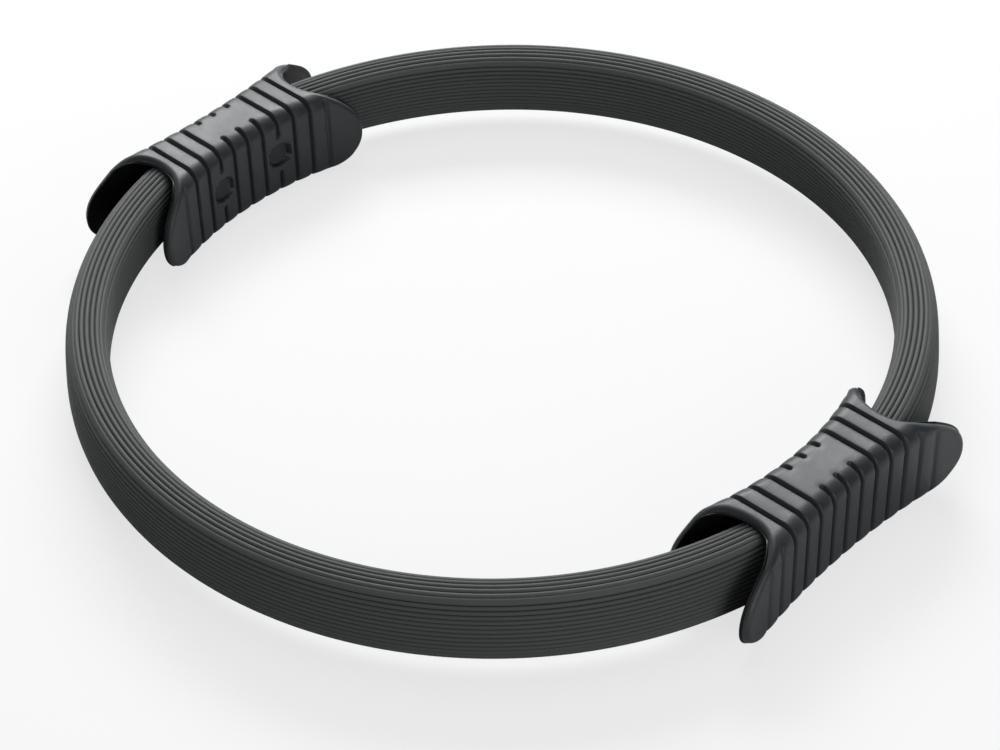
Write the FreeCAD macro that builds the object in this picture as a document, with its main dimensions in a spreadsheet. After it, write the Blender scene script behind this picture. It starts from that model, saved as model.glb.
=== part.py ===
"""Pilates ring: a sprung steel hoop in two ribbed sleeves, with a padded clamshell handle on each side.

Millimetres. The ring lies flat, +Z is up and z = 0 is the plane that it rests on. The two handles face each
other along X, so +X runs from the ring's centre to the right handle. Every piece is built about the ring's
middle plane and raised by half the grip's height.
"""
import FreeCAD
import Part
import Sketcher
import math
import os

doc = FreeCAD.newDocument("PilatesRing")

# Driving dimensions
SIZES = [
    # Hoop
    ("ring_mid_radius", 171.0),
    ("strip_thickness", 1.5),
    ("strip_height", 24.0),
    ("strip_clearance", 0.15),
    ("splice_gap", 1.0),
    ("splice_half_length", 13.0),
    ("splice_thickness", 1.2),
    ("splice_height", 20.0),
    ("rivet_shank_radius", 1.6),
    ("rivet_head_radius", 2.8),
    ("rivet_head_height", 0.8),
    ("rivet_spacing_y", 16.0),
    ("rivet_spacing_z", 12.0),
    ("seat_gap", 0.05),
    ("relief_clearance", 0.5),
    # Ribbed sleeves
    ("sleeve_thickness", 18.0),
    ("sleeve_height", 32.0),
    ("sleeve_wall", 3.6),
    ("sleeve_crown_wall", 4.6),
    ("sleeve_end_gap", 0.3),
    ("crown_rib_depth", 0.8),
    ("side_rib_depth", 0.6),
    ("crown_rib_width", 2.3),
    ("shoulder_land", 3.2),
    # Grips
    ("mouth_clearance", 2.6),
    ("waist_inner_offset", 19.5),
    ("waist_outer_offset", 10.0),
    ("inner_lobe_reach", 57.5),
    ("outer_lobe_reach", 66.5),
    ("inner_flare", 11.5),
    ("outer_flare", 6.5),
    ("inner_lobe_flat", 9.0),
    ("outer_lobe_flat", 6.0),
    ("grip_edge_radius", 7.0),
    ("grip_wall", 2.6),
    ("scallop_radius", 14.0),
    ("scallop_floor", 38.5),
    ("groove_pitch", 8.5),
    ("groove_width", 2.0),
    ("groove_depth", 1.6),
    ("flap_groove_depth", 1.0),
    ("panel_half_width", 6.7),
    ("plug_groove_stop", 9.0),
    # Cores, screws and plugs
    ("core_half_length", 31.0),
    ("lining_wall", 1.3),
    ("split_gap", 0.05),
    ("plug_radius", 5.5),
    ("plug_clearance", 0.1),
    ("plug_recess", 1.6),
    ("plug_thickness", 3.5),
    ("plug_chamfer", 0.4),
    ("screw_head_radius", 3.6),
    ("screw_head_height", 2.2),
    ("screw_shank_radius", 1.9),
    ("screw_shank_length", 17.0),
    ("screw_tip_length", 2.0),
    ("screw_clearance", 0.3),
    ("thread_clearance", 0.05),
    ("recess_width", 1.1),
    ("recess_span", 4.0),
    ("recess_depth", 1.3),
    # Length by which a cutting tool runs past what it cuts
    ("overrun", 5.0),
]

# Counts and shape numbers
CROWN_RIBS = 5
SIDE_RIBS = 12
CROWN_POWER = 2.4
SIDE_POWER = 4.0
OUTLINE_STEPS = 4000
FULL_GROOVES = 4
PANEL_GROOVES = 1
PLUG_GROOVE = 2
FLAP_GROOVES = 2
TIP_RADIUS_SHARE = 0.4

sheet = doc.addObject("Spreadsheet::Sheet", "sizes")
for row, (alias, value) in enumerate(SIZES, start=1):
    sheet.set("A%d" % row, alias)
    sheet.set("B%d" % row, "%g" % value)
    sheet.setAlias("B%d" % row, alias)
doc.recompute()


def size(alias):
    """Value of one driving dimension."""
    return float(sheet.get(alias))


# Places worked out from the driving dimensions, written as expressions
HALF_HEIGHT = "(sizes.sleeve_height / 2 + sizes.mouth_clearance + sizes.lining_wall + sizes.grip_wall)"
GRIP_HEIGHT = "(2 * %s)" % HALF_HEIGHT
PAST_HEIGHT = "(%s + 2 * sizes.overrun)" % GRIP_HEIGHT
WAIST_INNER = "(sizes.ring_mid_radius - sizes.waist_inner_offset)"
WAIST_OUTER = "(sizes.ring_mid_radius + sizes.waist_outer_offset)"
HANDLE_MID = "((%s + %s) / 2)" % (WAIST_INNER, WAIST_OUTER)
INNER_FACE_RADIUS = "((sizes.inner_lobe_reach ^ 2 + sizes.inner_flare ^ 2) / (2 * sizes.inner_flare))"
OUTER_FACE_RADIUS = "((sizes.outer_lobe_reach ^ 2 + sizes.outer_flare ^ 2) / (2 * sizes.outer_flare))"
INNER_FACE_CENTRE = "(%s - %s)" % (WAIST_INNER, INNER_FACE_RADIUS)
OUTER_FACE_CENTRE = "(%s + %s)" % (WAIST_OUTER, OUTER_FACE_RADIUS)
SCREW_OFFSET = "(%d * sizes.groove_pitch)" % PLUG_GROOVE
PLUG_FRONT = "(%s + sqrt(%s ^ 2 - %s ^ 2) + sizes.plug_recess)" % (
    INNER_FACE_CENTRE, INNER_FACE_RADIUS, SCREW_OFFSET)
HEAD_TOP = "(%s + sizes.plug_thickness + sizes.plug_clearance)" % PLUG_FRONT
HEAD_SEAT = "(%s + sizes.screw_head_height)" % HEAD_TOP
STRIP_HALF = "(sizes.strip_thickness / 2)"
SPLIT_RADIUS = "(sizes.ring_mid_radius + %s + sizes.strip_clearance)" % STRIP_HALF
SPLICE_FACE = "(sizes.ring_mid_radius - %s - sizes.seat_gap)" % STRIP_HALF
SPLICE_BACK = "(%s - sizes.splice_thickness)" % SPLICE_FACE
BORE_RADIUS = "(sizes.plug_radius + sizes.plug_clearance)"
ALONG_X = FreeCAD.Rotation(FreeCAD.Vector(0, 1, 0), 90)


def bind(item, **formulas):
    """Tie properties of one object to expressions; a double underscore stands for a dot."""
    for name, formula in formulas.items():
        item.setExpression(name.replace("__", "."), formula)


def place(item, x="0", y="0", z="0"):
    """Tie the place of one object to three expressions."""
    bind(item, Placement__Base__x=x, Placement__Base__y=y, Placement__Base__z=z)


def block(name, low, high):
    """Box between two corners given as expressions."""
    item = doc.addObject("Part::Box", name)
    spans = ["(%s) - (%s)" % (b, a) for a, b in zip(low, high)]
    bind(item, Length=spans[0], Width=spans[1], Height=spans[2])
    place(item, *low)
    return item


def upright(name, radius, height, x="0", y="0"):
    """Cylinder along Z, centred on the middle plane."""
    item = doc.addObject("Part::Cylinder", name)
    bind(item, Radius=radius, Height=height)
    place(item, x, y, "-(%s) / 2" % height)
    return item


def along_x(name, radius, start, end, y="0", z="0"):
    """Cylinder along X between two expressions."""
    item = doc.addObject("Part::Cylinder", name)
    item.Placement.Rotation = ALONG_X
    bind(item, Radius=radius, Height="(%s) - (%s)" % (end, start))
    place(item, start, y, z)
    return item


def cut(name, base, tool):
    """What one object leaves when another is taken away."""
    item = doc.addObject("Part::Cut", name)
    item.Base = base
    item.Tool = tool
    return item


def common(name, base, tool):
    """What two objects share."""
    item = doc.addObject("Part::Common", name)
    item.Base = base
    item.Tool = tool
    return item


def fuse(name, items):
    """Several objects joined to one."""
    item = doc.addObject("Part::MultiFuse", name)
    item.Shapes = items
    return item


def round_edges(name, base, radius, wanted):
    """Fillet the edges of one object that pass a test."""
    doc.recompute()
    item = doc.addObject("Part::Fillet", name)
    item.Base = base
    edges = enumerate(base.Shape.Edges, start=1)
    item.Edges = [(index, radius, radius) for index, edge in edges if wanted(edge)]
    return item


def mirror(name, source, normal):
    """Copy of one object on the other side of the ring."""
    item = doc.addObject("Part::Mirroring", name)
    item.Source = source
    item.Normal = normal
    return item


# Handle forms


def flared_bar(name, *walls):
    """Solid hourglass bar with rounded long edges, inset from the grip's outside by the named walls."""
    inset = "(%s)" % (" + ".join("sizes." + wall for wall in walls) or "0")
    half = "(%s - %s)" % (HALF_HEIGHT, inset)
    reach = "(sizes.outer_lobe_reach + sizes.overrun)"
    raw = block(
        name + "_blank",
        ("%s - sizes.outer_lobe_reach" % HANDLE_MID, "-%s" % reach, "-%s" % half),
        ("%s + sizes.outer_lobe_reach" % HANDLE_MID, reach, half),
    )
    inner = upright(name + "_inner_face", "%s + %s" % (INNER_FACE_RADIUS, inset), PAST_HEIGHT, INNER_FACE_CENTRE)
    outer = upright(name + "_outer_face", "%s + %s" % (OUTER_FACE_RADIUS, inset), PAST_HEIGHT, OUTER_FACE_CENTRE)
    waisted = cut(name + "_waisted", raw, fuse(name + "_faces", [inner, outer]))
    radius = size("grip_edge_radius") - sum(size(wall) for wall in walls)
    return round_edges(name, waisted, radius, lambda edge: isinstance(edge.Curve, Part.Circle))


def half_height():
    """Half the grip's height, worked out as HALF_HEIGHT is."""
    walls = size("mouth_clearance") + size("lining_wall") + size("grip_wall")
    return size("sleeve_height") / 2 + walls


def runs_across(edge):
    """Whether an edge of a block runs along X."""
    box = edge.BoundBox
    return box.XLength > max(box.YLength, box.ZLength)


def lobe_limit(name, reach, flat, low_x, high_x):
    """Side view of one wall of the grip: a long plate whose ends are rounded but for a short flat."""
    plate = block(
        name + "_plate",
        (low_x, "-sizes.%s" % reach, "-%s" % HALF_HEIGHT),
        (high_x, "sizes.%s" % reach, HALF_HEIGHT),
    )
    return round_edges(name, plate, half_height() - size(flat) / 2, runs_across)


def lobe_limits():
    """Side views of both walls, which meet along the handle's middle."""
    inner_x = "%s - sizes.outer_lobe_reach" % HANDLE_MID
    outer_x = "%s + sizes.outer_lobe_reach" % HANDLE_MID
    inner = lobe_limit("inner_lobes", "inner_lobe_reach", "inner_lobe_flat", inner_x, HANDLE_MID)
    outer = lobe_limit("outer_lobes", "outer_lobe_reach", "outer_lobe_flat", HANDLE_MID, outer_x)
    return fuse("lobes", [inner, outer])


def mouth_scallops():
    """Round-bottomed notches that open the top and bottom walls at both mouths."""
    centre = "(sizes.scallop_floor + sizes.scallop_radius)"
    end = "(sizes.outer_lobe_reach + sizes.overrun)"
    pieces = []
    for tag, sign in (("front", "-"), ("rear", "")):
        pieces.append(upright(tag + "_scallop", "sizes.scallop_radius", PAST_HEIGHT, HANDLE_MID, sign + centre))
        low_y, high_y = ("-" + end, "-" + centre) if sign else (centre, end)
        low = ("%s - sizes.scallop_radius" % HANDLE_MID, low_y, "-%s - sizes.overrun" % HALF_HEIGHT)
        high = ("%s + sizes.scallop_radius" % HANDLE_MID, high_y, "%s + sizes.overrun" % HALF_HEIGHT)
        pieces.append(block(tag + "_scallop_way", low, high))
    return fuse("scallops", pieces)


def groove_slab(name, index, low_x, high_x, half_z):
    """Cross slice of the handle as wide as one groove."""
    middle = "%d * sizes.groove_pitch" % index
    return block(
        name,
        (low_x, "%s - sizes.groove_width / 2" % middle, "-(%s)" % half_z),
        (high_x, "%s + sizes.groove_width / 2" % middle, half_z),
    )


def groove_cutter():
    """Grooves round the grip: whole at the ends, open over the middle panel and beside the plugs."""
    low_x = "%s - sizes.outer_lobe_reach" % HANDLE_MID
    high_x = "%s + sizes.outer_lobe_reach" % HANDLE_MID
    tall = "%s + sizes.overrun" % HALF_HEIGHT
    panel_low = "%s - sizes.panel_half_width" % HANDLE_MID
    panel_high = "%s + sizes.panel_half_width" % HANDLE_MID
    slabs = []
    for index in range(-FULL_GROOVES, FULL_GROOVES + 1):
        tag = "groove_%d" % (index + FULL_GROOVES + 1)
        if abs(index) <= PANEL_GROOVES:
            slabs.append(groove_slab(tag + "_inner", index, low_x, panel_low, tall))
            slabs.append(groove_slab(tag + "_outer", index, panel_high, high_x, tall))
            continue
        whole = groove_slab(tag, index, low_x, high_x, tall)
        if abs(index) == PLUG_GROOVE:
            stop = groove_slab(tag + "_stop", index, low_x, panel_low, "sizes.plug_groove_stop")
            whole = cut(tag + "_open", whole, stop)
        slabs.append(whole)
    return cut("groove_cutter", fuse("groove_slabs", slabs), flared_bar("groove_bed", "groove_depth"))


def flap_groove_cutter():
    """Shallow grooves on the lobes' side faces only, one more on the outer side than on the inner."""
    low_x = "%s - sizes.outer_lobe_reach" % HANDLE_MID
    high_x = "%s + sizes.outer_lobe_reach" % HANDLE_MID
    half_z = "%s - sizes.grip_edge_radius" % HALF_HEIGHT
    slabs = []
    for step in range(1, FLAP_GROOVES + 1):
        for sign in (-1, 1):
            index = sign * (FULL_GROOVES + step)
            tag = "flap_groove_%d_%s" % (step, "rear" if sign > 0 else "front")
            start = low_x if step < FLAP_GROOVES else HANDLE_MID
            slabs.append(groove_slab(tag, index, start, high_x, half_z))
    return cut("flap_cutter", fuse("flap_slabs", slabs), flared_bar("flap_bed", "flap_groove_depth"))


def screw_places():
    """Names and Y places of the two screws of a handle."""
    return (("front", "-" + SCREW_OFFSET), ("rear", SCREW_OFFSET))


def counterbores():
    """Holes from the inner face down to the screw heads' seats."""
    start = "%s - sizes.outer_lobe_reach" % HANDLE_MID
    return [along_x(tag + "_counterbore", BORE_RADIUS, start, HEAD_SEAT, y) for tag, y in screw_places()]


# Handle pieces
doc.recompute()
outer_form = flared_bar("outer_form")
cavity_form = flared_bar("cavity_form", "grip_wall")
lobes = lobe_limits()
scallops = mouth_scallops()
plug_bores = fuse("plug_bores", counterbores())

grip_tube = cut("grip_tube", outer_form, cavity_form)
grip_lobed = common("grip_lobed", grip_tube, lobes)
grip_cutters = fuse("grip_cutters", [scallops, groove_cutter(), flap_groove_cutter(), plug_bores])
right_grip = cut("right_grip", grip_lobed, grip_cutters)

# Each mouth is lined by the core, which is solid only along its middle
mouth_form = flared_bar("mouth_form", "grip_wall", "lining_wall")
core_zone = block(
    "core_zone",
    ("%s - sizes.outer_lobe_reach" % HANDLE_MID, "-sizes.core_half_length", "-%s" % HALF_HEIGHT),
    ("%s + sizes.outer_lobe_reach" % HANDLE_MID, "sizes.core_half_length", HALF_HEIGHT),
)
mouth_hollow = cut("mouth_hollow", mouth_form, core_zone)
core_blank = common("core_blank", cavity_form, lobes)
core_shell = cut("core_shell", core_blank, fuse("core_openings", [mouth_hollow, scallops]))

# Space in the inner half for the strip, the splice and the screws
strip_tall = "sizes.strip_height + 2 * sizes.strip_clearance"
strip_space = cut(
    "strip_space",
    upright("strip_space_outer", SPLIT_RADIUS, strip_tall),
    upright("strip_space_inner", "sizes.ring_mid_radius - %s - sizes.strip_clearance" % STRIP_HALF, strip_tall),
)
splice_reach = "(sizes.splice_half_length + sizes.relief_clearance)"
splice_rise = "(sizes.splice_height / 2 + sizes.relief_clearance)"
splice_relief = block(
    "splice_relief",
    ("sqrt(%s ^ 2 - %s ^ 2) - sizes.rivet_head_height - sizes.relief_clearance" % (SPLICE_BACK, splice_reach),
     "-" + splice_reach, "-" + splice_rise),
    ("sizes.ring_mid_radius", splice_reach, splice_rise),
)
screw_ways = [
    along_x(tag + "_screw_way", "sizes.screw_shank_radius + sizes.screw_clearance",
            "%s - sizes.overrun" % HEAD_SEAT, "%s + sizes.overrun" % SPLIT_RADIUS, y)
    for tag, y in screw_places()
]
inner_side = upright("inner_side", SPLIT_RADIUS, GRIP_HEIGHT)
inner_blank = common("inner_blank", core_shell, inner_side)
inner_spaces = fuse("inner_spaces", [strip_space, splice_relief, plug_bores] + screw_ways)
right_core_inner = cut("right_core_inner", inner_blank, inner_spaces)

# The outer half holds the screw threads and clears the rivet heads
head_reach = "(sizes.rivet_spacing_y / 2 + sizes.rivet_head_radius + sizes.relief_clearance)"
head_rise = "(sizes.rivet_spacing_z / 2 + sizes.rivet_head_radius + sizes.relief_clearance)"
rivet_relief = block(
    "rivet_relief",
    (WAIST_INNER, "-" + head_reach, "-" + head_rise),
    ("%s + sizes.rivet_head_height + sizes.relief_clearance" % SPLIT_RADIUS, head_reach, head_rise),
)
SCREW_END = "(%s + sizes.screw_shank_length + sizes.screw_tip_length)" % HEAD_SEAT
pilots = [
    along_x(tag + "_pilot", "sizes.screw_shank_radius + sizes.thread_clearance",
            WAIST_INNER, "%s + sizes.thread_clearance" % SCREW_END, y)
    for tag, y in screw_places()
]
outer_side = upright("outer_side", "%s + sizes.split_gap" % SPLIT_RADIUS, GRIP_HEIGHT)
outer_spaces = fuse("outer_spaces", [outer_side, rivet_relief] + pilots)
right_core_outer = cut("right_core_outer", core_shell, outer_spaces)


def screw(tag, y):
    """Thread-forming pan screw with a cross recess, driven from the inner face."""
    head = along_x(tag + "_head", "sizes.screw_head_radius", HEAD_TOP, HEAD_SEAT, y)
    shank_end = "(%s + sizes.screw_shank_length)" % HEAD_SEAT
    shank = along_x(tag + "_shank", "sizes.screw_shank_radius", HEAD_SEAT, shank_end, y)
    tip = doc.addObject("Part::Cone", tag + "_tip")
    tip.Placement.Rotation = ALONG_X
    bind(tip, Radius1="sizes.screw_shank_radius", Height="sizes.screw_tip_length")
    bind(tip, Radius2="sizes.screw_shank_radius * %g" % TIP_RADIUS_SHARE)
    place(tip, shank_end, y)
    slots = []
    long_half = "sizes.recess_span / 2"
    short_half = "sizes.recess_width / 2"
    for name, half_y, half_z in (("flat", long_half, short_half), ("tall", short_half, long_half)):
        low = ("%s - sizes.overrun" % HEAD_TOP, "%s - %s" % (y, half_y), "-%s" % half_z)
        high_corner = ("%s + sizes.recess_depth" % HEAD_TOP, "%s + %s" % (y, half_y), half_z)
        slots.append(block("%s_slot_%s" % (tag, name), low, high_corner))
    solid = fuse(tag + "_solid", [head, shank, tip])
    return cut(tag, solid, fuse(tag + "_recess", slots))


def origin_plane(body, role):
    """One of a body's own origin planes."""
    return next(item for item in body.Origin.OriginFeatures if item.Role == role)


def plug(tag, y):
    """Round push-in plug with a chamfered front edge, which faces the ring's centre."""
    body = doc.addObject("PartDesign::Body", tag)
    outline = body.newObject("Sketcher::SketchObject", tag + "_outline")
    outline.AttachmentSupport = [(origin_plane(body, "YZ_Plane"), "")]
    outline.MapMode = "FlatFace"
    outline.addGeometry(Part.Circle(FreeCAD.Vector(0, 0, 0), FreeCAD.Vector(0, 0, 1), size("plug_radius")))
    outline.addConstraint(Sketcher.Constraint("Coincident", 0, 3, -1, 1))
    outline.addConstraint(Sketcher.Constraint("Radius", 0, size("plug_radius")))
    outline.setExpression("Constraints[1]", "sizes.plug_radius")
    pad = body.newObject("PartDesign::Pad", tag + "_disc")
    pad.Profile = outline
    bind(pad, Length="sizes.plug_thickness")
    doc.recompute()
    rim = [
        "Edge%d" % index
        for index, edge in enumerate(pad.Shape.Edges, start=1)
        if edge.Closed and abs(edge.CenterOfMass.x) < size("plug_chamfer")
    ]
    chamfer = body.newObject("PartDesign::Chamfer", tag + "_edge")
    chamfer.Base = (pad, rim)
    bind(chamfer, Size="sizes.plug_chamfer")
    place(body, PLUG_FRONT, y, HALF_HEIGHT)
    return body


right_handle = [right_grip, right_core_inner, right_core_outer]
right_handle += [screw("right_screw_" + tag, y) for tag, y in screw_places()]
for piece in right_handle:
    place(piece, z=HALF_HEIGHT)
right_handle += [plug("right_plug_" + tag, y) for tag, y in screw_places()]
left_handle = [
    mirror(piece.Name.replace("right_", "left_"), piece, FreeCAD.Vector(1, 0, 0)) for piece in right_handle
]

# Spring hoop and its splice inside the left handle
FAR_X = "(sizes.ring_mid_radius + sizes.sleeve_thickness)"
STRIP_OUTSIDE = "(sizes.ring_mid_radius + %s)" % STRIP_HALF


def rivet_places():
    """Names and the Y and Z places of the splice's four rivets."""
    for tag_y, sign_y in (("front", "-"), ("rear", "")):
        for tag_z, sign_z in (("lower", "-"), ("upper", "")):
            y = sign_y + "sizes.rivet_spacing_y / 2"
            z = sign_z + "sizes.rivet_spacing_z / 2"
            yield tag_y + "_" + tag_z, y, z


def left_radial(name, radius, near, far, z):
    """Cylinder that points away from the ring's centre through the left handle, between two radii."""
    item = doc.addObject("Part::Cylinder", name)
    item.Placement.Rotation = FreeCAD.Rotation(FreeCAD.Vector(0, 1, 0), -90)
    bind(item, Radius=radius, Height="(%s) - (%s)" % (far, near))
    place(item, "-(%s)" % near, "0", z)
    return item


def swing(item, y):
    """Turn a left radial piece about the ring's axis until it stands at one Y place on the hoop."""
    # The first turn only sets the axis, because the expression drives the angle alone
    item.Placement.Rotation = FreeCAD.Rotation(FreeCAD.Vector(0, 0, 1), 1)
    bind(item, Placement__Rotation__Angle="-asin((%s) / sizes.ring_mid_radius)" % y)


def rivet(tag, y, z):
    """Rivet through the plate and the strip, square to them, with a flat head at each end."""
    inner_seat = "(%s - sizes.seat_gap)" % SPLICE_BACK
    outer_seat = "(%s + sizes.seat_gap)" % STRIP_OUTSIDE
    neck = left_radial(tag + "_neck", "sizes.rivet_shank_radius", inner_seat, outer_seat, z)
    inner_end = "%s - sizes.rivet_head_height" % inner_seat
    inner_head = left_radial(tag + "_inner_head", "sizes.rivet_head_radius", inner_end, inner_seat, z)
    outer_end = "%s + sizes.rivet_head_height" % outer_seat
    outer_head = left_radial(tag + "_outer_head", "sizes.rivet_head_radius", outer_seat, outer_end, z)
    item = fuse(tag, [neck, inner_head, outer_head])
    swing(item, y)
    return item


def rivet_holes(name):
    """Cutters for the rivets' holes in the strip and in the plate."""
    holes = []
    for tag, y, z in rivet_places():
        radius = "sizes.rivet_shank_radius + sizes.seat_gap"
        hole = doc.addObject("Part::Compound", "%s_%s" % (name, tag))
        hole.Links = [left_radial("%s_%s_straight" % (name, tag), radius, WAIST_INNER, FAR_X, z)]
        swing(hole, y)
        holes.append(hole)
    return holes


strip_ring = cut(
    "strip_ring",
    upright("strip_outside", STRIP_OUTSIDE, "sizes.strip_height"),
    upright("strip_inside", "sizes.ring_mid_radius - %s" % STRIP_HALF, "sizes.strip_height"),
)
screw_holes = [
    along_x(tag + "_strip_hole", "sizes.screw_shank_radius + sizes.screw_clearance", "-" + FAR_X, FAR_X, y)
    for tag, y in screw_places()
]
butt_gap = block(
    "butt_gap",
    ("-" + FAR_X, "-sizes.splice_gap / 2", "-sizes.strip_height"),
    ("-" + WAIST_INNER, "sizes.splice_gap / 2", "sizes.strip_height"),
)
hoop_holes = fuse("hoop_holes", screw_holes + [butt_gap] + rivet_holes("hoop_hole"))
spring_hoop = cut("spring_hoop", strip_ring, hoop_holes)

plate_ring = cut(
    "plate_ring",
    upright("plate_outside", SPLICE_FACE, "sizes.splice_height"),
    upright("plate_inside", SPLICE_BACK, "sizes.splice_height"),
)
plate_zone = block(
    "plate_zone",
    ("-" + FAR_X, "-sizes.splice_half_length", "-sizes.splice_height"),
    ("0", "sizes.splice_half_length", "sizes.splice_height"),
)
plate_blank = common("plate_blank", plate_ring, plate_zone)
splice_plate = cut("splice_plate", plate_blank, fuse("plate_holes", rivet_holes("plate_hole")))
hoop_pieces = [spring_hoop, splice_plate]
hoop_pieces += [rivet("splice_rivet_" + tag, y, z) for tag, y, z in rivet_places()]
for piece in hoop_pieces:
    place(piece, z=HALF_HEIGHT)

# Ribbed sleeves


def quarter_outline():
    """Points from the crown's middle to the side's middle, with the length run so far at each."""
    half_thick = size("sleeve_thickness") / 2
    half_tall = size("sleeve_height") / 2
    outline = []
    run = 0.0
    for step in range(OUTLINE_STEPS + 1):
        angle = math.pi / 2 * step / OUTLINE_STEPS
        across = half_thick * math.sin(angle) ** (2 / CROWN_POWER)
        up = half_tall * max(math.cos(angle), 0.0) ** (2 / SIDE_POWER)
        point = (across, up)
        if outline:
            run += math.dist(point, outline[-1][1])
        outline.append((run, point))
    return outline


def ribbed_outline():
    """Closed wire of rib arcs: wide on both crowns, one plain land at each shoulder, fine on the sides."""
    outline = quarter_outline()
    quarter = outline[-1][0]
    middle = size("ring_mid_radius")
    half_thick = size("sleeve_thickness") / 2
    half_tall = size("sleeve_height") / 2

    def envelope(run):
        """Point at one length along the whole outline, and the outward normal there."""
        turn, rest = divmod(run, quarter)
        rest = quarter - rest if turn % 2 else rest
        _, (across, up) = min(outline, key=lambda entry: abs(entry[0] - rest))
        side = -1 if turn % 4 in (2, 3) else 1
        rise = -1 if turn % 4 in (1, 2) else 1
        steep_across = CROWN_POWER * (across / half_thick) ** (CROWN_POWER - 1) / half_thick
        steep_up = SIDE_POWER * (up / half_tall) ** (SIDE_POWER - 1) / half_tall
        steep = math.hypot(steep_across, steep_up)
        normal = FreeCAD.Vector(side * steep_across / steep, 0, rise * steep_up / steep)
        return FreeCAD.Vector(middle + side * across, 0, rise * up), normal

    crown_edge = CROWN_RIBS / 2 * size("crown_rib_width")
    side_start = crown_edge + size("shoulder_land")
    side_width = (quarter - side_start) / (SIDE_RIBS / 2)
    borders = [(count + CROWN_RIBS % 2 / 2) * size("crown_rib_width") for count in range((CROWN_RIBS + 1) // 2)]
    borders += [side_start + count * side_width for count in range(SIDE_RIBS // 2 + 1)]
    around = {round(turn * quarter + way * border, 6) for border in borders
              for turn, way in ((0, 1), (2, -1), (2, 1), (4, -1))}
    around = sorted(around)

    def valley(run):
        """Foot between two ribs."""
        point, normal = envelope(run)
        distance = min(run % (2 * quarter), 2 * quarter - run % (2 * quarter))
        depth = size("crown_rib_depth") if distance < side_start else size("side_rib_depth")
        return point - normal * depth

    arcs = []
    for start, end in zip(around, around[1:] + [around[0] + 4 * quarter]):
        crest, _ = envelope((start + end) / 2)
        arcs.append(Part.Arc(valley(start), crest, valley(end)).toShape())
    return Part.Wire(arcs)


def sleeve_bore():
    """Closed wire of the sleeve's hollow, with a slot at top and bottom that holds the strip's edges."""
    middle = size("ring_mid_radius")
    half_wide = size("sleeve_thickness") / 2 - size("sleeve_wall")
    half_tall = size("sleeve_height") / 2 - size("sleeve_crown_wall")
    slot_wide = size("strip_thickness") / 2 + size("strip_clearance")
    slot_tall = size("strip_height") / 2 + size("strip_clearance")
    right = [(slot_wide, slot_tall), (slot_wide, half_tall), (half_wide, half_tall)]
    right += [(across, -up) for across, up in reversed(right)]
    around = right + [(-across, -up) for across, up in right]
    points = [FreeCAD.Vector(middle + across, 0, up) for across, up in around]
    return Part.makePolygon(points + points[:1])


sleeve_section = doc.addObject("Part::Feature", "sleeve_section")
sleeve_section.Shape = Part.makeFace([ribbed_outline(), sleeve_bore()], "Part::FaceMakerBullseye")
front_sleeve = doc.addObject("Part::Revolution", "front_sleeve")
front_sleeve.Source = sleeve_section
front_sleeve.Axis = FreeCAD.Vector(0, 0, 1)
front_sleeve.Solid = True
front_sleeve.Symmetric = True
inner_radius = "(sizes.ring_mid_radius - sizes.sleeve_thickness / 2)"
end_angle = "asin((sizes.core_half_length + sizes.sleeve_end_gap) / %s)" % inner_radius
bind(front_sleeve, Angle="180 deg - 2 * %s" % end_angle)
front_sleeve.Placement.Rotation = FreeCAD.Rotation(FreeCAD.Vector(0, 0, 1), -90)
place(front_sleeve, z=HALF_HEIGHT)
rear_sleeve = mirror("rear_sleeve", front_sleeve, FreeCAD.Vector(0, 1, 0))

# Checks and files
NODES = hoop_pieces + [front_sleeve, rear_sleeve] + left_handle + right_handle
doc.recompute()
for item in doc.Objects:
    if {"Invalid", "Error"} & set(item.State):
        raise RuntimeError("%s failed: %s" % (item.Name, item.State))
for item in NODES:
    item.Label = item.Name
    shape = item.Shape
    if shape.isNull() or not shape.isValid() or len(shape.Solids) != 1:
        raise RuntimeError("%s is not one valid solid" % item.Label)

os.makedirs("parts", exist_ok=True)
for item in NODES:
    item.Shape.exportStep("parts/%s.step" % item.Label)
    print("%-28s %10.1f mm3" % (item.Label, item.Shape.Volume))
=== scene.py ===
"""Pilates ring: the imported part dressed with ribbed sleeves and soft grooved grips, in plain studio light.

Sizes are millimetres until a mesh is made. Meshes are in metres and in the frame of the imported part: the ring
lies flat, +Z is up and the two handles face each other along X.
"""
import logging
import math
from dataclasses import dataclass
from enum import Enum

import bpy
import numpy as np
from mathutils import Matrix, Vector

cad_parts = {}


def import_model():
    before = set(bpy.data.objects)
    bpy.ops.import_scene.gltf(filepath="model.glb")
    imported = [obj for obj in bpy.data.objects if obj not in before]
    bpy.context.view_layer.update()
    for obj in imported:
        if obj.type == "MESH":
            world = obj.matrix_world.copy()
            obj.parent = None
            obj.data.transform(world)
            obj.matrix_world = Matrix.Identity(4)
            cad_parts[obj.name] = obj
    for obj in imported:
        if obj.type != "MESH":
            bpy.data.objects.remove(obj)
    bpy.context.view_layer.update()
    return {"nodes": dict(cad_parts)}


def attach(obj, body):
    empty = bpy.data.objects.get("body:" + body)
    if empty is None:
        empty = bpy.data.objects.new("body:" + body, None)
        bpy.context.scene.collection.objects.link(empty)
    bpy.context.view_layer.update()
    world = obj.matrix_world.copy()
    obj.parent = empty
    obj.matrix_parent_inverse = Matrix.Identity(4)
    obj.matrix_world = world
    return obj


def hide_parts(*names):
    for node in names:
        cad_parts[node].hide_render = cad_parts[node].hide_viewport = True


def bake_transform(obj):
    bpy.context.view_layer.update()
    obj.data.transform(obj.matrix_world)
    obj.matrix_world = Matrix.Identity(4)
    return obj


MM = 0.001
MID_HEIGHT = 22.5
RING_RADIUS = 171.0
SHARP_ANGLE = math.radians(50.0)
NO_SLOPE = 1e-6
RELIEF = "relief"
FLOW = "flow"
LOG = logging.getLogger("pilates_ring")


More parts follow.
